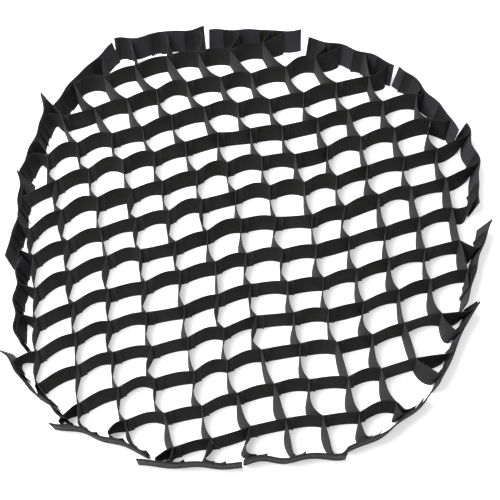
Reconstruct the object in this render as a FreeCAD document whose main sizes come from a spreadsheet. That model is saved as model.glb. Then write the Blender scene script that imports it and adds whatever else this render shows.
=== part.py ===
"""Round cloth egg-crate grid for a 16-rod softbox, lying on its foot edges.

Frame: millimetres, +Z up, origin on the table under the middle of the grid.
Row strips run along X and column strips along Y.  Rows are slotted from the top
and columns from the foot, so they pass through each other at every crossing.
Sixteen rim bands close the grid.  They lean outwards, and every second one stands
a step further out, so that neighbouring ends can lap past each other when the
lattice skews.  Strip ends stand off the bands by a small gap for the same reason.
"""
import FreeCAD, Part
import Sketcher
import os

DOC = FreeCAD.newDocument("egg_crate_grid")

SIZES = [
    ("cell_pitch", 60.0, "distance between neighbouring strips"),
    ("strips_each_side", 6, "strips on each side of the middle one"),
    ("edge_cell", 43.0, "outermost strip to the rim, at the foot"),
    ("strip_height", 50.0, "height of every strip and rim band"),
    ("cloth", 1.0, "thickness of the strip cloth"),
    ("slot_clearance", 0.8, "slot width beyond the cloth that passes it"),
    ("slot_end_gap", 0.5, "slot depth beyond half the height"),
    ("slot_overrun", 1.0, "how far the slot's cutter runs past the open edge"),
    ("lap_width", 8.0, "width of the sewn lap beside each crossing"),
    ("lap_cloth", 0.8, "thickness of the sewn lap"),
    ("lap_gap", 2.5, "slot edge to the lap"),
    ("rim_flare", 10.0, "outward lean of the rim bands, degrees"),
    ("rim_step", 7.0, "outer bands stand this much further out"),
    ("band_lap", 2.0, "band length beyond the side it covers"),
    ("band_cloth", 1.2, "thickness of a rim band"),
    ("tape_thick", 1.4, "thickness of the hook tape"),
    ("tape_margin", 1.0, "band edge to the tape edge, all round"),
    ("tab_length", 17.0, "length of a sewn strip-end tab"),
    ("tab_cloth", 1.0, "thickness of a strip-end tab"),
    ("tab_margin", 1.0, "band edge to the tab edge, foot and top"),
    ("strip_end_gap", 1.5, "strip end to the tab, so that the end can slip"),
]
RIM_SIDES = 16
SIDE_ANGLE = 360.0 / RIM_SIDES
QUARTER = RIM_SIDES // 4


def make_sheet():
    """Write each driving size into its own named cell."""
    sheet = DOC.addObject("Spreadsheet::Sheet", "sizes")
    for row, (name, number, meaning) in enumerate(SIZES, start=1):
        sheet.set("A%d" % row, name)
        sheet.set("B%d" % row, str(number))
        sheet.set("C%d" % row, meaning)
        sheet.setAlias("B%d" % row, name)
    DOC.recompute()
    return sheet


SHEET = make_sheet()


def value(expression):
    """Work out an expression with the sizes that the sheet holds now."""
    result = SHEET.evalExpression(expression)
    return float(getattr(result, "Value", result))


# ------------------------------------------------------------ shared expressions
SLOT_WIDTH = "(sizes.cloth + sizes.slot_clearance)"
LAP_START = "(%s / 2 + sizes.lap_gap)" % SLOT_WIDTH
SLOPE = "tan(sizes.rim_flare * 1 deg)"
LEAN = "(sizes.strip_height * %s)" % SLOPE
LEAN_AT_SLOTS = "((sizes.strip_height / 2 + sizes.slot_end_gap) * %s)" % SLOPE
STAND_OFF = "(sizes.tab_cloth + sizes.strip_end_gap)"
END_CLEARANCE = "(sizes.cloth / 2 + sizes.lap_cloth) * tan(%r deg)" % ((QUARTER - 1) * SIDE_ANGLE)


def apothem(side):
    """Middle of the grid to the inner face of a rim band, at the foot."""
    step = " + sizes.rim_step" if side % 2 else ""
    return "(sizes.strips_each_side * sizes.cell_pitch + sizes.edge_cell%s)" % step


def reach(offset, side, face):
    """Where a strip at this offset meets a plane that stands at this side, this far out."""
    normal = "(%d * %r deg)" % (side, SIDE_ANGLE)
    return "((%s - %d * sizes.cell_pitch * sin%s) / cos%s)" % (face, abs(offset), normal, normal)


def nearest_side(offset):
    """Which band, counted from the strip's own direction, the strip is sewn to."""
    return min(range(QUARTER), key=lambda side: value(reach(offset, side, apothem(0))))


def half_length(offset, lean="0"):
    """Half the strip's length at the foot, or at the top when given the lean."""
    faces = ["(%s + %s - %s)" % (apothem(side), lean, STAND_OFF) for side in range(QUARTER)]
    return "min(%s)" % "; ".join(reach(offset, side, face) for side, face in enumerate(faces))


def crossings_each_side(offset, lean):
    """How many strips of the other family this one reaches on each side of its middle.

    The lean is that of the height where its slots are, because the ends slope outwards.
    """
    room = value("%s + %s / 2" % (half_length(offset, lean), SLOT_WIDTH))
    return min(int(value("sizes.strips_each_side")), int(room // value("sizes.cell_pitch")))


# ------------------------------------------------------------------ body helpers
def new_body(label):
    body = DOC.addObject("PartDesign::Body", label)
    body.Label = label
    return body


def outline(body, name, plane, corners, stand_off=None):
    """A closed sketch whose corners are all bound to expressions."""
    sketch = body.newObject("Sketcher::SketchObject", body.Label + "_" + name)
    origin_plane = [item for item in body.Origin.OriginFeatures if item.Role == plane][0]
    sketch.AttachmentSupport = [(origin_plane, "")]
    sketch.MapMode = "FlatFace"
    if stand_off:
        sketch.setExpression("AttachmentOffset.Base.z", stand_off)
    points = [FreeCAD.Vector(value(x), value(y), 0) for x, y in corners]
    count = len(points)
    for index in range(count):
        sketch.addGeometry(Part.LineSegment(points[index], points[(index + 1) % count]), False)
    for index in range(count):
        sketch.addConstraint(Sketcher.Constraint("Coincident", index, 2, (index + 1) % count, 1))
    for index, (x, y) in enumerate(corners):
        for kind, expression in (("DistanceX", x), ("DistanceY", y)):
            number = sketch.addConstraint(Sketcher.Constraint(kind, -1, 1, index, 1, value(expression)))
            sketch.setExpression("Constraints[%d]" % number, expression)
    return sketch


def pad(body, sketch, length, both_ways):
    feature = body.newObject("PartDesign::Pad", sketch.Label + "_pad")
    feature.Profile = sketch
    feature.SideType = "Symmetric" if both_ways else "One side"
    feature.setExpression("Length", length)
    body.Tip = feature
    return feature


def cut_through(body, sketch):
    feature = body.newObject("PartDesign::Pocket", sketch.Label + "_cut")
    feature.Profile = sketch
    feature.SideType = "Symmetric"
    feature.Type = "ThroughAll"
    body.Tip = feature
    return feature


def repeat(body, feature, sketch, count):
    """Repeat a feature once per crossing, a cell apart, along the strip."""
    if count < 2:
        return
    pattern = body.newObject("PartDesign::LinearPattern", feature.Label + "_row")
    pattern.Originals = [feature]
    pattern.Direction = (sketch, ["H_Axis"])
    pattern.Occurrences = count
    pattern.setExpression("Length", "%d * sizes.cell_pitch" % (count - 1))
    body.Tip = pattern


# ------------------------------------------------------------------------ strips
def strip(label, offset, slots_from_top):
    """A straight strip on edge, ends cut to the lean of the rim, with its slots."""
    body = new_body(label)
    height = "sizes.strip_height"
    foot = half_length(offset)
    top = half_length(offset, LEAN)
    corners = [("-" + foot, "0"), (foot, "0"), (top, height), ("-" + top, height)]
    pad(body, outline(body, "side", "XZ_Plane", corners), "sizes.cloth", True)

    crossings = crossings_each_side(offset, LEAN if slots_from_top else LEAN_AT_SLOTS)
    first = "(-%d * sizes.cell_pitch)" % crossings
    left = "%s - %s / 2" % (first, SLOT_WIDTH)
    right = "%s + %s / 2" % (first, SLOT_WIDTH)
    if slots_from_top:
        low = "%s / 2 - sizes.slot_end_gap" % height
        high = "%s + sizes.slot_overrun" % height
    else:
        low = "-sizes.slot_overrun"
        high = "%s / 2 + sizes.slot_end_gap" % height
    slot = outline(body, "slot", "XZ_Plane", [(left, low), (right, low), (right, high), (left, high)])
    repeat(body, cut_through(body, slot), slot, 2 * crossings + 1)
    return body


def laps_that_fit(offset):
    """The crossings, counted from the middle, whose lap stays within the strip's foot."""
    room = value("%s - %s" % (half_length(offset), END_CLEARANCE))
    start = value(LAP_START)
    end = value("%s + sizes.lap_width" % LAP_START)
    pitch = value("sizes.cell_pitch")
    most = crossings_each_side(offset, LEAN)
    places = range(-most, most + 1)
    return [place for place in places if place * pitch + start > -room and place * pitch + end < room]


def add_laps(body, offset):
    """The narrow double layer sewn on a row's front face beside each crossing."""
    places = laps_that_fit(offset)
    left = "%d * sizes.cell_pitch + %s" % (places[0], LAP_START)
    right = "%s + sizes.lap_width" % left
    top = "sizes.strip_height"
    corners = [(left, "0"), (right, "0"), (right, top), (left, top)]
    sketch = outline(body, "lap", "XZ_Plane", corners, stand_off="sizes.cloth / 2")
    repeat(body, pad(body, sketch, "sizes.lap_cloth", False), sketch, len(places))


def row_strip(number, offset):
    body = strip("row_strip_%02d" % number, offset, slots_from_top=True)
    add_laps(body, offset)
    body.setExpression("Placement.Base.y", "%d * sizes.cell_pitch" % offset)
    return body


def column_strip(number, offset):
    body = strip("column_strip_%02d" % number, offset, slots_from_top=False)
    body.Placement.Rotation = FreeCAD.Rotation(FreeCAD.Vector(0, 0, 1), 90)
    body.setExpression("Placement.Base.x", "%d * sizes.cell_pitch" % offset)
    return body


# --------------------------------------------------------------------------- rim
def place_on_rim(body, side):
    """Turn a rim piece to face its side's normal and stand it on the inner face."""
    angle = side * SIDE_ANGLE
    body.Placement.Rotation = FreeCAD.Rotation(FreeCAD.Vector(0, 0, 1), angle - 90)
    body.setExpression("Placement.Base.x", "%s * cos(%r deg)" % (apothem(side), angle))
    body.setExpression("Placement.Base.y", "%s * sin(%r deg)" % (apothem(side), angle))


def leaning(inner, outer, low, high):
    """Corners of a leaning layer, in the plane across the band."""
    return [
        ("%s + (%s) * %s" % (inner, low, SLOPE), low),
        ("%s + (%s) * %s" % (outer, low, SLOPE), low),
        ("%s + (%s) * %s" % (outer, high, SLOPE), high),
        ("%s + (%s) * %s" % (inner, high, SLOPE), high),
    ]


def band_length(side):
    return "(2 * %s * tan(%r deg) + sizes.band_lap)" % (apothem(side), SIDE_ANGLE / 2)


def stopping_sides(offset):
    """The two bands, by number, that stop a strip at this offset."""
    turn = nearest_side(offset) if offset >= 0 else -nearest_side(offset)
    return turn % RIM_SIDES, (RIM_SIDES // 2 - turn) % RIM_SIDES


def tab_places(side):
    """Where the tabs start on this band: distance from its middle, positive counter-clockwise.

    Every strip end is folded over counter-clockwise from where it meets the band.
    """
    places = []
    most = int(value("sizes.strips_each_side"))
    for family_turn in (0, QUARTER):
        own_side = (side - family_turn) % RIM_SIDES
        angle = own_side * SIDE_ANGLE
        for offset in range(-most, most + 1):
            if own_side in stopping_sides(offset):
                rise = "%d * sizes.cell_pitch - %s * sin(%r deg)" % (offset, apothem(side), angle)
                place = "(%s) / cos(%r deg)" % (rise, angle)
                end = "(%s / 2 - sizes.tab_margin)" % band_length(side)
                places.append("min(max(%s; -%s); %s - sizes.tab_length)" % (place, end, end))
    return places


def rim_band(number, side):
    """One cloth band with the strip-end tabs that are sewn to its inner face."""
    body = new_body("rim_band_%02d" % number)
    layer = leaning("0", "sizes.band_cloth", "0", "sizes.strip_height")
    pad(body, outline(body, "section", "YZ_Plane", layer), band_length(side), True)
    low = "sizes.tab_margin"
    high = "sizes.strip_height - sizes.tab_margin"
    for index, place in enumerate(tab_places(side)):
        section = leaning("-sizes.tab_cloth", "0", low, high)
        start = "-%s - sizes.tab_length" % place
        sketch = outline(body, "tab_%d" % index, "YZ_Plane", section, stand_off=start)
        pad(body, sketch, "sizes.tab_length", False)
    place_on_rim(body, side)
    return body


def hook_tape(number, side):
    """The hook tape on the outer face of one band."""
    body = new_body("hook_tape_%02d" % number)
    inner = "sizes.band_cloth"
    outer = "sizes.band_cloth + sizes.tape_thick"
    low = "sizes.tape_margin"
    high = "sizes.strip_height - sizes.tape_margin"
    layer = leaning(inner, outer, low, high)
    length = "%s - 2 * sizes.tape_margin" % band_length(side)
    pad(body, outline(body, "section", "YZ_Plane", layer), length, True)
    place_on_rim(body, side)
    return body


# ------------------------------------------------------------------------- build
def build():
    most = int(value("sizes.strips_each_side"))
    parts = []
    for number, offset in enumerate(range(-most, most + 1), start=1):
        parts.append(row_strip(number, offset))
        parts.append(column_strip(number, offset))
    for side in range(RIM_SIDES):
        parts.append(rim_band(side + 1, side))
        parts.append(hook_tape(side + 1, side))
    DOC.recompute()
    return parts


def check(parts):
    """Stop if anything in the document failed to build."""
    for item in DOC.Objects:
        if "Invalid" in item.State or "Error" in item.State:
            raise RuntimeError("%s did not build: %s" % (item.Label, item.State))
    for part in parts:
        if part.Shape.isNull() or not part.Shape.isValid():
            raise RuntimeError("%s has no valid shape" % part.Label)
        if len(part.Shape.Solids) != 1:
            raise RuntimeError("%s is %d solids" % (part.Label, len(part.Shape.Solids)))


def write(parts):
    os.makedirs("parts", exist_ok=True)
    for part in parts:
        part.Shape.exportStep("parts/%s.step" % part.Label)


PARTS = build()
check(PARTS)
write(PARTS)
print("%d nodes written" % len(PARTS))
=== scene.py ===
"""Looks of a round cloth egg-crate grid lying slack on a white table.

Everything is in metres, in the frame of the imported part: +Z up, row strips along X,
column strips along Y.  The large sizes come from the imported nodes.  The named values
say how thick the cloths are and how the slack cloth lies: how the lattice sways, how the
strips bow between their crossings and how each rim band has flopped.
"""
import math
import bpy
import numpy as np
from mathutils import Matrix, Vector


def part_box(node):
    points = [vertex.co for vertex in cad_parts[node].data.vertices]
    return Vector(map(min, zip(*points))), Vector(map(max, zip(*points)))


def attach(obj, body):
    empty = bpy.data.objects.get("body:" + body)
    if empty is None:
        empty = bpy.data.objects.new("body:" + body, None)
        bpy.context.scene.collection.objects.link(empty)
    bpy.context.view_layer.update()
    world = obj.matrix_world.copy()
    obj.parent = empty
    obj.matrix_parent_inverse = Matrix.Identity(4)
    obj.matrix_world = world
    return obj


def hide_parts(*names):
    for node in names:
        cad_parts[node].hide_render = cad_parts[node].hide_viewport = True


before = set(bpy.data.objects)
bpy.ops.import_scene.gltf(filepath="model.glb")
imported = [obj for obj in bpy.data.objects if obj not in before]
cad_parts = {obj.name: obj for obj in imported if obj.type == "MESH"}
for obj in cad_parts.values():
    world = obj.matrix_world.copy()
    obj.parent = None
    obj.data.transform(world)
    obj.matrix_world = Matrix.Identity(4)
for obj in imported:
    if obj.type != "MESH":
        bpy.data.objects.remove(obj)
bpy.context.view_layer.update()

MM = 0.001
RANDOM = np.random.RandomState(16)

# ------------------------------------------------------------ sizes from the frame
SIDES = 16
SIDE_ANGLE = 2 * math.pi / SIDES
ROWS = sorted(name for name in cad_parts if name.startswith("row_strip"))
COLUMNS = sorted(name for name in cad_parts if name.startswith("column_strip"))
MOST = len(ROWS) // 2


def column_place(number):
    low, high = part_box("column_strip_%02d" % number)
    return (low.x + high.x) / 2


PITCH = column_place(2) - column_place(1)
MIDDLE_LOW, MIDDLE_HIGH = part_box(COLUMNS[MOST])
HEIGHT = MIDDLE_HIGH.z
STRIP_CLOTH = MIDDLE_HIGH.x - MIDDLE_LOW.x

# -------------------------------------------------------------- cloths and stitches
DRAWN_CLOTH = STRIP_CLOTH * 1.25
SLIT = 0.7 * MM
BAND_CLOTH = 1.2 * MM
TAPE_THICK = 1.4 * MM
TAPE_MARGIN = 1 * MM
TAB_CLOTH = 1.0 * MM
TAB_LENGTH = 17 * MM
TAB_MARGIN = 1 * MM
LAP_START = 3.4 * MM
LAP_WIDTH = 8 * MM
LAP_CLOTH = 0.8 * MM
LAP_BACK = STRIP_CLOTH * 0.55 - 0.1 * MM
STITCH_LENGTH = 2.6 * MM
STITCH_PITCH = 3.6 * MM
STITCH_WIDTH = 0.5 * MM
STITCH_RISE = 0.6
STITCH_TAPER = 0.2
SHARP_ANGLE = math.radians(40)

# ------------------------------------------------------------- how the cloth lies
# The terms of the sway are millimetres at this distance from the middle.
SWAY_SPAN = 390 * MM
COLUMN_SWAY = (15, 46, -41, -60)
COLUMN_DRAW = (-14, 12)
ROW_SWAY = (14, -22, -17, 36)
ROW_SWAY_DEPTH = (-1, -5, -3, 3)
ROW_TWIST = 10
ROW_RISE = -12
COLUMN_TWIST = (-8, 10)
ROW_RIPPLE = (6, 280)
JITTER = 1.8 * MM
JITTER_MOST = 6 * MM
ROW_BOW = (4.4 * MM, 2.8 * MM)
ROW_BOW_LEFT = 0.8
COLUMN_BOW = (8.0 * MM, 2.8 * MM)
LEAST_BOW = -1 * MM
STRIP_LEAN = 2.2 * MM
COLUMN_LEAN = (1 * MM, 6 * MM)
FOLD_LEAN = 7 * MM
FOLD_GAP = 1.2 * MM
FOLD_PULL = (8 * MM, 56 * MM)
FOLD_START = 0.6
FOLD_SPRING = 0.8
FOLD_SLACK = 11 * MM
LEAST_FACING = 0.2
BAND_LEAN = math.radians(12)
BAND_WAVE = 1.5 * MM

# How each band has flopped: out, along and bow in millimetres, turn in degrees, and how
# much further its clockwise and counter-clockwise ends lean out, in degrees.
BAND_LIES = [
    (8, 25, 12, -12, 3, 2),
    (7, 2, 7, -2, 2, 2),
    (6, 0, 3, 7, 2, 2),
    (-9, 14, 0, 7, 2, 2),
    (11, 24, 2, -6, 2, 2),
    (-6, 11, 6, 15, 4, 2),
    (-15, -6, -3, 15, 14, 0),
    (-50, 6, -3, -2, 16, -2),
    (-46, 27, 14, -14, 6, 0),
    (-4, 13, 9, 2, 12, 0),
    (6, -12, -3, 11, 0, 0),
    (-11, -24, 0, 5, -1, -1),
    (-9, -14, 0, -12, -1, -1),
    (-7, -14, 10, -4, -2, -4),
    (-3, 0, -2, 5, -2, 8),
    (-20, -3, 3, -8, -2, 10),
]


def sway(x, y):
    """How far the slack lattice has shifted in plan from its taut place."""
    across = x / SWAY_SPAN
    deep = y / SWAY_SPAN
    shift_x = sum(term * deep ** power for power, term in enumerate(COLUMN_SWAY))
    shift_y = sum(term * across ** power for power, term in enumerate(ROW_SWAY))
    shift_x += COLUMN_DRAW[0] * across + COLUMN_DRAW[1] * across ** 3
    shift_y += sum(term * deep ** power for power, term in enumerate(ROW_SWAY_DEPTH))
    shift_x += (COLUMN_TWIST[0] + COLUMN_TWIST[1] * across) * across * deep
    shift_y += (ROW_TWIST + ROW_RISE * across) * across * deep
    ripple = math.cos(2 * math.pi * x / MM / ROW_RIPPLE[1])
    shift_y += ROW_RIPPLE[0] * ripple * (1 - across ** 2)
    return np.array([shift_x, shift_y]) * MM


def make_crossings():
    """Plan place of every crossing, by column and row offset from the middle."""
    places = {}
    for i in range(-MOST, MOST + 1):
        for j in range(-MOST, MOST + 1):
            taut = np.array([i * PITCH, j * PITCH])
            wander = np.clip(RANDOM.normal(0, JITTER, 2), -JITTER_MOST, JITTER_MOST)
            places[i, j] = taut + sway(*taut) + wander
    return places


CROSSINGS = make_crossings()


def crossings_each_side(offset):
    """How many crossings a strip has on each side of its middle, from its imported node."""
    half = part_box("row_strip_%02d" % (offset + MOST + 1))[1].x
    return min(MOST, int((half + SLIT / 2) // PITCH))


# ----------------------------------------------------------------------- rim bands
class Band:
    """Where one rim band lies.  Places run counter-clockwise from its middle."""

    def __init__(self, side):
        self.number = side + 1
        angle = side * SIDE_ANGLE
        self.normal = np.array([math.cos(angle), math.sin(angle)])
        self.tangent = np.array([-math.sin(angle), math.cos(angle)])
        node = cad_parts["rim_band_%02d" % self.number]
        corners = np.array([vertex.co for vertex in node.data.vertices])
        feet = corners[corners[:, 2] < MM / 2][:, :2]
        self.apothem = (feet @ self.normal).min()
        self.half = (feet @ self.tangent).max()
        out, along, bow, turn, clockwise, counter = BAND_LIES[side]
        self.middle = self.normal * (self.apothem + out * MM) + self.tangent * along * MM
        turn = math.radians(turn)
        self.out = math.cos(turn) * self.normal + math.sin(turn) * self.tangent
        self.along = math.cos(turn) * self.tangent - math.sin(turn) * self.normal
        self.bow = bow * MM
        self.flop = (math.radians(clockwise), math.radians(counter))
        # A bowed band of the same length reaches less far along its chord.
        self.squeeze = 1 - (self.bow / self.half) ** 2 * 2 / 3
        self.wave = RANDOM.normal(0, BAND_WAVE, 3)
        self.phase = RANDOM.uniform(0, 2 * math.pi, 3)

    def points(self, places, heights, outward=0.0):
        """Plan points on the band's inner face, or this far outside it: one row per place."""
        share = np.clip(places / self.half, -1, 1)
        clockwise = self.flop[0] * np.clip(-share, 0, 1) ** 2
        counter = self.flop[1] * np.clip(share, 0, 1) ** 2
        lean = BAND_LEAN + clockwise + counter
        away = self.bow * (1 - share ** 2) + outward
        for number, (wave, phase) in enumerate(zip(self.wave, self.phase), start=1):
            away = away + wave * np.sin(math.pi * number * share + phase)
        away = away[:, None] + np.outer(np.tan(lean), heights)
        line = self.middle + places[:, None] * self.along * self.squeeze
        return line[:, None, :] + away[:, :, None] * self.out


BANDS = [Band(side) for side in range(SIDES)]


def landing(direction, offset_point):
    """The band that a straight strip meets, where its fold starts there, and how far it is."""
    found = []
    for band in BANDS:
        facing = direction @ band.normal
        if facing < LEAST_FACING:
            continue
        reach = (band.apothem - offset_point @ band.normal) / facing
        place = (offset_point + reach * direction) @ band.tangent
        if abs(place) <= band.half:
            found.append((reach, band, place))
    reach, band, place = min(found, key=lambda item: item[0])
    return band, min(place, band.half - TAB_LENGTH - TAB_MARGIN), reach


# ------------------------------------------------------------------- mesh building
class Cloth:
    """Collects thin closed sheets and stitches, then makes them one mesh object."""

    def __init__(self):
        self.points = []
        self.uvs = []
        self.faces = []
        self.looks = []
        self.count = 0

    def add(self, points, uvs, faces, look=0):
        self.points.append(points)
        self.uvs.append(uvs)
        self.faces.append(faces + self.count)
        self.looks.append(np.full(len(faces), look))
        self.count += len(points)

    def sheet(self, grid, heights, thickness, edge, cut=None, look=0):
        """A closed sheet on edge: grid is plan points by station and height.

        Edge is the share of the thickness at each height, and cut marks the cells left out.
        """
        stations, levels = grid.shape[:2]
        if cut is None:
            cut = np.zeros((stations - 1, levels - 1), bool)
        step = np.gradient(grid, axis=0)
        step /= np.linalg.norm(step, axis=2, keepdims=True)
        normal = np.stack([-step[:, :, 1], step[:, :, 0]], axis=2)
        half = (thickness / 2 * edge)[None, :, None]
        tall = np.broadcast_to(heights, (stations, levels))
        front = np.dstack([grid - normal * half, tall]).reshape(-1, 3)
        back = np.dstack([grid + normal * half, tall]).reshape(-1, 3)
        middle = grid[:, levels // 2]
        run = np.concatenate([[0], np.cumsum(np.linalg.norm(np.diff(middle, axis=0), axis=1))])
        uv = np.dstack([np.broadcast_to(run[:, None], (stations, levels)), tall]).reshape(-1, 2)
        faces = sheet_faces(~cut, stations, levels)
        self.add(np.vstack([front, back]), np.vstack([uv, uv]), faces, look)

    def stitch(self, start, end, outward):
        """One short thread lying on the cloth: a low three-sided hump with pointed ends."""
        along = end - start
        side = np.cross(outward, along)
        side *= STITCH_WIDTH / 2 / np.linalg.norm(side)
        rise = outward / np.linalg.norm(outward) * STITCH_WIDTH * STITCH_RISE
        near = start + along * STITCH_TAPER
        far = end - along * STITCH_TAPER
        points = np.array([
            start, near - side, near + rise, near + side,
            far - side, far + rise, far + side, end,
        ])
        faces = np.array([
            [0, 2, 1, 1], [0, 3, 2, 2], [0, 1, 3, 3],
            [1, 2, 5, 4], [2, 3, 6, 5], [3, 1, 4, 6],
            [4, 5, 7, 7], [5, 6, 7, 7], [6, 4, 7, 7],
        ])
        self.add(points, np.zeros((8, 2)), faces)

    def make(self, name, *materials):
        mesh = bpy.data.meshes.new(name)
        points = np.vstack(self.points)
        faces = [list(dict.fromkeys(face)) for face in np.vstack(self.faces).tolist()]
        mesh.from_pydata(points.tolist(), [], faces)
        layer = mesh.uv_layers.new(name="cloth")
        corner = np.zeros(len(mesh.loops), np.int32)
        mesh.loops.foreach_get("vertex_index", corner)
        layer.data.foreach_set("uv", np.vstack(self.uvs)[corner].astype(np.float32).ravel())
        mesh.polygons.foreach_set("use_smooth", np.ones(len(mesh.polygons), bool))
        mesh.set_sharp_from_angle(angle=SHARP_ANGLE)
        for material in materials:
            mesh.materials.append(material)
        mesh.polygons.foreach_set("material_index", np.concatenate(self.looks).astype(np.int32))
        piece = bpy.data.objects.new(name, mesh)
        bpy.context.scene.collection.objects.link(piece)
        return piece


def sheet_faces(kept, stations, levels):
    """Front, back and edge faces of a sheet, for the cells that are kept."""
    back = stations * levels
    padded = np.pad(kept, 1)
    i, j = np.nonzero(kept)
    a = i * levels + j
    b = a + levels
    c = b + 1
    d = a + 1
    faces = [np.stack([a, b, c, d], 1), np.stack([d, c, b, a], 1) + back]
    neighbours = [(0, -1, b, a), (1, 0, c, b), (0, 1, d, c), (-1, 0, a, d)]
    for step_i, step_j, first, second in neighbours:
        open_side = ~padded[i + 1 + step_i, j + 1 + step_j]
        first, second = first[open_side], second[open_side]
        faces.append(np.stack([first, second, second + back, first + back], 1))
    return np.vstack(faces)


# -------------------------------------------------------------------------- strips
RUN_SAMPLES = 14
END_SAMPLES = 18
FOLD_SAMPLES = 30
PULL_STEPS = 20

# Heights of a row's stations as shares of the strip height, close together at the bound
# edges, with one at its slit's end.  The edge shape thickens the bindings.
ROW_LEVELS = np.array([0, 0.008, 0.032, 0.16, 0.32, 0.49, 0.66, 0.84, 0.968, 0.992, 1])
COLUMN_LEVELS = 1 - ROW_LEVELS[::-1]
STRIP_EDGE = np.array([0.5, 1.1, 1.1, 0.85, 0.85, 0.85, 0.85, 0.85, 1.1, 1.1, 0.5])

# The same for a lap, whose free side has lifted off its strip.
LAP_LEVELS = np.array([0.006, 0.02, 0.5, 0.92, 1, 1.018]) * HEIGHT
LAP_EDGE = np.array([0.6, 1, 1, 1.1, 1.3, 0.7])
LAP_LIFT = np.array([0, 0, 0.1, 0.6, 1.8]) * MM


def plan_length(grid):
    """Length of a sheet along its middle height."""
    line = grid[:, grid.shape[1] // 2]
    return float(np.linalg.norm(np.diff(line, axis=0), axis=1).sum())


def bowed(share):
    """The hump of a slack run: flat beside the sewn lap, fullest past the middle."""
    late = 27 / 4 * share ** 2 * (1 - share)
    even = np.sin(math.pi * share)
    return (late + even) / 2


def folded(start, leaving, band, place, pull, share, levels):
    """Plan points of a strip end that curls round to lie along its band."""
    target = band.points(np.array([place]), levels, -TAB_CLOTH - FOLD_GAP)[0]
    first_pull = start + (leaving - FOLD_SPRING * band.along) * pull * FOLD_START
    last_pull = target - band.along * pull
    s = share[:, None, None]
    tip = np.outer(np.sin(math.pi * share) ** 2, levels / HEIGHT - 0.5) * FOLD_LEAN
    return (
        (1 - s) ** 3 * start + 3 * (1 - s) ** 2 * s * first_pull
        + 3 * (1 - s) * s ** 2 * last_pull[None, :, :] + s ** 3 * target[None, :, :]
        + tip[:, :, None] * band.along
    )


class Strip:
    """One slack strip through its crossings, ordered so that its bow is to its left."""

    def __init__(self, family, offset):
        self.number = offset + MOST + 1
        self.name = "%s_strip_%02d" % (family, self.number)
        self.is_row = family == "row"
        self.direction = np.array([1.0, 0.0]) if self.is_row else np.array([0.0, -1.0])
        self.levels = (ROW_LEVELS if self.is_row else COLUMN_LEVELS) * HEIGHT
        most = crossings_each_side(offset)
        if self.is_row:
            self.stops = [CROSSINGS[i, offset] for i in range(-most, most + 1)]
            middle = np.array([0.0, offset * PITCH])
        else:
            self.stops = [CROSSINGS[offset, j] for j in range(most, -most - 1, -1)]
            middle = np.array([offset * PITCH, 0.0])
        mean, spread = ROW_BOW if self.is_row else COLUMN_BOW
        count = len(self.stops) - 1
        side = 1 if self.is_row else -1
        middles = (np.array(self.stops[:-1]) + np.array(self.stops[1:])) / 2
        left, front = np.clip(-middles.T / SWAY_SPAN, 0, 1)
        self.bows = np.clip(RANDOM.normal(mean, spread, count), LEAST_BOW, mean + 2 * spread) * side
        self.leans = RANDOM.normal(0, STRIP_LEAN, count)
        if self.is_row:
            self.bows *= 1 + ROW_BOW_LEFT * left
        else:
            self.leans += COLUMN_LEAN[0] + COLUMN_LEAN[1] * front
        self.most = most
        self.first = self.fold(False, landing(-self.direction, middle))
        self.last = self.fold(True, landing(self.direction, middle))

    def fold(self, at_last, found):
        """How one end leaves its last crossing and folds onto the band, at its real length.

        The pull of the fold is the one that gives the end its taut length and the slack.
        """
        band, place, reach = found
        start = self.stops[-1] if at_last else self.stops[0]
        before = self.stops[-2] if at_last else self.stops[1]
        leaving = (start - before) / np.linalg.norm(start - before)
        real = reach - self.most * PITCH + FOLD_SLACK + math.tan(BAND_LEAN) * HEIGHT / 2
        low, high = FOLD_PULL
        levels = np.array([HEIGHT / 2])
        share = np.linspace(0, 1, FOLD_SAMPLES)
        for _ in range(PULL_STEPS):
            pull = (low + high) / 2
            if plan_length(folded(start, leaving, band, place, pull, share, levels)) < real:
                low = pull
            else:
                high = pull
        return start, leaving, band, place, pull

    def run(self, index, share, levels):
        """Plan points between crossing index and the next, for shares of the run."""
        start = self.stops[index]
        along = self.stops[index + 1] - start
        left = np.array([-along[1], along[0]]) / np.linalg.norm(along)
        line = start + share[:, None] * along
        lean = self.leans[index] * np.outer(np.sin(math.pi * share), levels / HEIGHT - 0.5)
        away = (self.bows[index] * bowed(share))[:, None] + lean
        return line[:, None, :] + away[:, :, None] * left

    def end(self, at_last, share, levels):
        """Plan points from the outermost crossing to the fold on the rim band."""
        return folded(*(self.last if at_last else self.first), share, levels)

    def stations(self):
        """The whole strip as plan points by station and height, and its slit intervals."""
        pieces = []
        slits = []
        count = 0

        def take(points):
            nonlocal count
            pieces.append(points)
            count += len(points)

        end_share = np.linspace(SLIT / PITCH, 1, END_SAMPLES)
        take(self.end(False, end_share, self.levels)[::-1])
        for index in range(len(self.stops) - 1):
            length = np.linalg.norm(self.stops[index + 1] - self.stops[index])
            trim = SLIT / 2 / length
            slits.append(count - 1)
            take(self.run(index, np.linspace(trim, 1 - trim, RUN_SAMPLES), self.levels))
        slits.append(count - 1)
        take(self.end(True, end_share, self.levels))
        return np.vstack(pieces), slits

    def slit_mask(self, stations, slits):
        cut = np.zeros((stations - 1, len(self.levels) - 1), bool)
        middle = len(self.levels) // 2
        half_cut = slice(middle, None) if self.is_row else slice(0, middle)
        for slit in slits:
            cut[slit, half_cut] = True
        return cut


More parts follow.
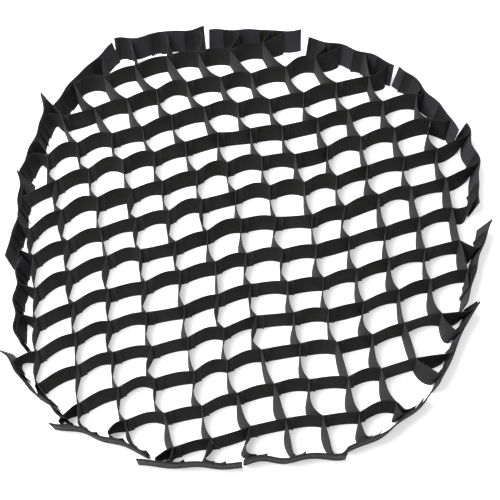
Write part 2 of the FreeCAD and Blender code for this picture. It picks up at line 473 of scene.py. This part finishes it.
def add_lap(cloth, strip, index):
    """The double layer sewn on the near face of a row, right of one crossing."""
    length = np.linalg.norm(strip.stops[index + 1] - strip.stops[index])
    share = np.linspace(LAP_START, LAP_START + LAP_WIDTH, len(LAP_LIFT)) / length
    grid = strip.run(index, share, np.minimum(LAP_LEVELS, HEIGHT))
    along = grid[-1, 0] - grid[0, 0]
    near = np.array([along[1], -along[0]]) / np.linalg.norm(along)
    stand_off = LAP_BACK + LAP_CLOTH / 2 + LAP_LIFT
    grid = grid + near * stand_off[:, None, None]
    # Look 1 is the lap's lighter copy of the row cloth: painted light, not a different fabric.
    cloth.sheet(grid, LAP_LEVELS, LAP_CLOTH, LAP_EDGE, look=1)
    for line in (1, 2):
        thread = grid[line, 2] + near * (LAP_CLOTH / 2)
        for low in np.arange(2 * MM, HEIGHT - 3 * MM, STITCH_PITCH):
            start = np.append(thread, low)
            end = np.append(thread, low + STITCH_LENGTH)
            cloth.stitch(start, end, np.append(near, 0.0))


def build_strip(family, offset, *materials):
    strip = Strip(family, offset)
    grid, slits = strip.stations()
    cloth = Cloth()
    cut = strip.slit_mask(len(grid), slits)
    cloth.sheet(grid, strip.levels, DRAWN_CLOTH, STRIP_EDGE, cut)
    if strip.is_row:
        for index in range(len(strip.stops) - 1):
            add_lap(cloth, strip, index)
    piece = cloth.make("%s_cloth_%02d" % (family, strip.number), *materials)
    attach(piece, "%s_%02d" % (family, strip.number))
    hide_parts(strip.name)


# ----------------------------------------------------------------------- rim pieces
# Levels are heights of the stations, edges are shares of the thickness at those heights,
# and the lift is how far a tab's free end has come off its band.
BAND_SAMPLES = 41
BAND_HEIGHT = round(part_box("rim_band_01")[1].z, 6)
BAND_LEVELS = np.array([0, 0.01, 0.04, 0.24, 0.5, 0.76, 0.96, 0.99, 1]) * BAND_HEIGHT
BAND_EDGE = np.array([0.5, 1.1, 1, 0.9, 0.9, 0.9, 1, 1.1, 0.5])
TAB_LEVELS = np.array([0.012, 0.024, 0.24, 0.5, 0.76, 0.96, 1.008]) * BAND_HEIGHT
TAB_EDGE = np.array([0.6, 1, 1, 1, 1, 1.1, 0.7])
TAB_LIFT = np.array([0, 0, 0, 0, 0, 0.3, 1.0, 2.0, 3.2]) * MM
TAPE_LEVELS = np.array([0.02, 0.028, 0.06, 0.26, 0.5, 0.74, 0.94, 0.972, 0.98]) * BAND_HEIGHT
TAPE_EDGE = np.array([0.5, 0.8, 0.9, 1, 1, 1, 0.9, 0.8, 0.5])
TAPE_STITCH_LINES = (0.068 * BAND_HEIGHT, 0.932 * BAND_HEIGHT)
DIRECTIONS = ((1.0, 0.0), (-1.0, 0.0), (0.0, 1.0), (0.0, -1.0))


def tabs_on(band):
    """Where strips are folded onto this band."""
    places = []
    for x, y in DIRECTIONS:
        across = np.array([-y, x])
        for offset in range(-MOST, MOST + 1):
            hit, place, _ = landing(np.array([x, y]), across * offset * PITCH)
            if hit is band:
                places.append(place)
    return places


def build_band(band, *materials):
    """The band with the strip ends that are folded and sewn onto its inner face."""
    cloth = Cloth()
    places = np.linspace(-band.half, band.half, BAND_SAMPLES)
    grid = band.points(places, BAND_LEVELS, BAND_CLOTH / 2)
    cloth.sheet(grid, BAND_LEVELS, BAND_CLOTH, BAND_EDGE)
    inward = np.append(-band.out, 0.0)
    for place in tabs_on(band):
        end = min(place + TAB_LENGTH, band.half - TAB_MARGIN)
        run = np.linspace(place, end, len(TAB_LIFT))
        tab = band.points(run, TAB_LEVELS, -TAB_CLOTH / 2 - TAB_LIFT)
        cloth.sheet(tab, TAB_LEVELS, TAB_CLOTH, TAB_EDGE, look=1)
        for line in (run[1], run[4]):
            for low in np.arange(3 * MM, BAND_HEIGHT - 4 * MM, STITCH_PITCH):
                high = low + STITCH_LENGTH
                ends = band.points(np.array([line]), np.array([low, high]), -TAB_CLOTH)[0]
                cloth.stitch(np.append(ends[0], low), np.append(ends[1], high), inward)
    piece = cloth.make("rim_cloth_%02d" % band.number, *materials)
    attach(piece, "rim_%02d" % band.number)
    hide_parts("rim_band_%02d" % band.number)
    return piece, plan_length(grid)


def build_tape(band, material):
    """The hook tape sewn to the band's outer face, with its two stitch lines."""
    cloth = Cloth()
    half = band.half - TAPE_MARGIN
    places = np.linspace(-half, half, BAND_SAMPLES)
    grid = band.points(places, TAPE_LEVELS, BAND_CLOTH + TAPE_THICK / 2)
    cloth.sheet(grid, TAPE_LEVELS, TAPE_THICK, TAPE_EDGE)
    outward = np.append(band.out, 0.0)
    for height in TAPE_STITCH_LINES:
        for start in np.arange(-half + 3 * MM, half - 5 * MM, STITCH_PITCH):
            run = np.array([start, start + STITCH_LENGTH])
            ends = band.points(run, np.array([height]), BAND_CLOTH + TAPE_THICK)[:, 0]
            cloth.stitch(np.append(ends[0], height), np.append(ends[1], height), outward)
    piece = cloth.make("hook_strip_%02d" % band.number, material)
    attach(piece, "rim_%02d" % band.number)
    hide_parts("hook_tape_%02d" % band.number)
    return piece


# ------------------------------------------------------------------------ materials
class Shader:
    """A small helper that adds nodes to one material."""

    def __init__(self, name):
        self.material = bpy.data.materials.new(name)
        self.material.use_nodes = True
        self.tree = self.material.node_tree
        self.surface = self.tree.nodes["Principled BSDF"]

    def node(self, kind, **settings):
        made = self.tree.nodes.new(kind)
        for key, setting in settings.items():
            setattr(made, key, setting)
        return made

    def link(self, source, target):
        self.tree.links.new(source, target)

    def math(self, operation, first, second=None):
        made = self.node("ShaderNodeMath", operation=operation)
        for socket, value in zip(made.inputs, (first, second)):
            if value is None:
                continue
            if isinstance(value, (int, float)):
                socket.default_value = value
            else:
                self.link(value, socket)
        return made.outputs[0]


MOTTLE_SCALE = 14.0
LINT_SCALE = 900.0
THREAD_DEPTH = 0.2 * MM


def woven_cloth(name, dark, light, thread, roughness, sheen, bump):
    """Tightly woven polyester: plain weave with painted shade in its grooves, mottled colour, dusty
    sheen.

    Dark and light are the ends of its colour, and thread is the width of one thread.
    """
    shader = Shader(name)
    place = shader.node("ShaderNodeUVMap", uv_map="cloth")
    split = shader.node("ShaderNodeSeparateXYZ")
    shader.link(place.outputs["UV"], split.inputs[0])
    across = shader.math("MULTIPLY", split.outputs["X"], 1 / thread)
    along = shader.math("MULTIPLY", split.outputs["Y"], 1 / thread)
    warp = shader.math("ABSOLUTE", shader.math("SINE", shader.math("MULTIPLY", across, math.pi)))
    weft = shader.math("ABSOLUTE", shader.math("SINE", shader.math("MULTIPLY", along, math.pi)))
    cell = shader.math("ADD", shader.math("FLOOR", across), shader.math("FLOOR", along))
    over = shader.math("MODULO", shader.math("ABSOLUTE", cell), 2.0)
    under = shader.math("SUBTRACT", 1.0, over)
    warp_seen = shader.math("MULTIPLY", warp, over)
    weft_seen = shader.math("MULTIPLY", weft, under)
    weave = shader.math("ADD", warp_seen, weft_seen)

    mottle = shader.node("ShaderNodeTexNoise")
    mottle.inputs["Scale"].default_value = MOTTLE_SCALE
    mottle.inputs["Detail"].default_value = 6.0
    place_3d = shader.node("ShaderNodeTexCoord")
    shader.link(place_3d.outputs["Object"], mottle.inputs["Vector"])
    lint = shader.node("ShaderNodeTexNoise")
    lint.inputs["Scale"].default_value = LINT_SCALE
    lint.inputs["Detail"].default_value = 2.0
    shader.link(place_3d.outputs["Object"], lint.inputs["Vector"])

    # The weave in the colour is painted shade: darker in the grooves between threads, lighter on
    # their crowns.
    tone = shader.math("MULTIPLY", weave, 0.35)
    tone = shader.math("ADD", tone, shader.math("MULTIPLY", mottle.outputs["Fac"], 0.5))
    tone = shader.math("ADD", tone, shader.math("MULTIPLY", lint.outputs["Fac"], 0.25))
    ramp = shader.node("ShaderNodeValToRGB")
    ramp.color_ramp.elements[0].position = 0.25
    ramp.color_ramp.elements[0].color = (*dark, 1)
    ramp.color_ramp.elements[1].position = 0.85
    ramp.color_ramp.elements[1].color = (*light, 1)
    shader.link(tone, ramp.inputs["Fac"])
    shader.link(ramp.outputs["Color"], shader.surface.inputs["Base Color"])

    height = shader.math("ADD", weave, shader.math("MULTIPLY", lint.outputs["Fac"], 0.4))
    bumped = shader.node("ShaderNodeBump")
    bumped.inputs["Strength"].default_value = bump
    bumped.inputs["Distance"].default_value = THREAD_DEPTH
    shader.link(height, bumped.inputs["Height"])
    shader.link(bumped.outputs["Normal"], shader.surface.inputs["Normal"])
    shader.surface.inputs["Roughness"].default_value = roughness
    shader.surface.inputs["Specular IOR Level"].default_value = 0.1
    shader.surface.inputs["Sheen Weight"].default_value = sheen
    shader.surface.inputs["Sheen Roughness"].default_value = 0.5
    return shader.material


ROW_CLOTH = woven_cloth(
    "row_cloth", dark=(0.006, 0.006, 0.0055), light=(0.015, 0.0145, 0.014),
    thread=0.7 * MM, roughness=0.8, sheen=0.02, bump=0.5,
)
# The laps are of the row cloth; this lighter copy is painted light for the light that the lifted
# laps catch.
LAP_PAINTED_LIGHT = woven_cloth(
    "lap_cloth", dark=(0.013, 0.013, 0.013), light=(0.034, 0.034, 0.034),
    thread=0.7 * MM, roughness=0.8, sheen=0.03, bump=0.5,
)
# The columns are of the row cloth; this lighter copy is painted light for the column faces that
# turn to the lamp.
COLUMN_CLOTH_PAINTED_LIGHT = woven_cloth(
    "column_cloth", dark=(0.008, 0.008, 0.008), light=(0.022, 0.022, 0.022),
    thread=0.7 * MM, roughness=0.8, sheen=0.03, bump=0.5,
)
BAND_LOOK = woven_cloth(
    "band_cloth", dark=(0.012, 0.011, 0.014), light=(0.030, 0.028, 0.034),
    thread=0.9 * MM, roughness=0.85, sheen=0.04, bump=0.6,
)
HOOK_TAPE = woven_cloth(
    "hook_tape", dark=(0.0055, 0.005, 0.0055), light=(0.015, 0.014, 0.016),
    thread=1.6 * MM, roughness=0.7, sheen=0.0, bump=0.9,
)


# --------------------------------------------------------------------- table, light
LOOK_AT = np.array([21.0, -13.0, 0.0]) * MM
CAMERA_AZIMUTH = math.radians(-15.8)
CAMERA_ELEVATION = math.radians(62)
CAMERA_DISTANCE = 2.7
CAMERA_LENS = 115.0
SENSOR_WIDTH = 36.0
TABLE_SIZE = 30.0
TABLE_GREY = 0.86
TABLE_GLOW = 0.37
WORLD_LIGHT = 0.80


def make_table():
    bpy.ops.mesh.primitive_plane_add(size=TABLE_SIZE, location=(0, 0, 0))
    table = bpy.context.object
    table.name = "table"
    shader = Shader("table_white")
    shader.surface.inputs["Base Color"].default_value = (TABLE_GREY, TABLE_GREY, TABLE_GREY, 1)
    shader.surface.inputs["Roughness"].default_value = 0.9
    shader.surface.inputs["Specular IOR Level"].default_value = 0.1
    shader.surface.inputs["Emission Color"].default_value = (1, 1, 1, 1)
    shader.surface.inputs["Emission Strength"].default_value = TABLE_GLOW
    table.data.materials.append(shader.material)


def aim(thing, target):
    """Turn a lamp or camera to look at a point, upright."""
    look = Vector(target) - thing.location
    thing.rotation_euler = look.to_track_quat("-Z", "Y").to_euler()


def seen_from(azimuth, elevation, distance):
    """A point this far from the look-at point, in that direction."""
    direction = np.array([
        math.sin(azimuth) * math.cos(elevation),
        -math.cos(azimuth) * math.cos(elevation),
        math.sin(elevation),
    ])
    return LOOK_AT + direction * distance


def make_lamp(name, azimuth, elevation, distance, size, power):
    """A round soft lamp, placed by degrees and metres from the look-at point."""
    data = bpy.data.lights.new(name, "AREA")
    data.shape = "DISK"
    data.size = size
    data.energy = power
    lamp = bpy.data.objects.new(name, data)
    bpy.context.scene.collection.objects.link(lamp)
    lamp.location = seen_from(math.radians(azimuth), math.radians(elevation), distance)
    aim(lamp, LOOK_AT)


def make_world(strength):
    world = bpy.data.worlds.new("studio")
    world.use_nodes = True
    world.node_tree.nodes["Background"].inputs["Color"].default_value = (1, 1, 1, 1)
    world.node_tree.nodes["Background"].inputs["Strength"].default_value = strength
    bpy.context.scene.world = world


def make_camera():
    data = bpy.data.cameras.new("camera")
    data.lens = CAMERA_LENS
    data.sensor_width = SENSOR_WIDTH
    data.clip_end = 50
    camera = bpy.data.objects.new("camera", data)
    bpy.context.scene.collection.objects.link(camera)
    camera.location = seen_from(CAMERA_AZIMUTH, CAMERA_ELEVATION, CAMERA_DISTANCE)
    aim(camera, LOOK_AT)
    bpy.context.scene.camera = camera


# --------------------------------------------------------------------------- build
make_table()
for offset in range(-MOST, MOST + 1):
    build_strip("row", offset, ROW_CLOTH, LAP_PAINTED_LIGHT)
for offset in range(-MOST, MOST + 1):
    build_strip("column", offset, COLUMN_CLOTH_PAINTED_LIGHT)
for band in BANDS:
    band_piece, band_run = build_band(band, BAND_LOOK, ROW_CLOTH)
    tape_piece = build_tape(band, HOOK_TAPE)

make_world(WORLD_LIGHT)
make_lamp("key", azimuth=-98, elevation=68, distance=2.6, size=1.8, power=135)
make_camera()
bpy.context.scene.view_settings.view_transform = "Standard"
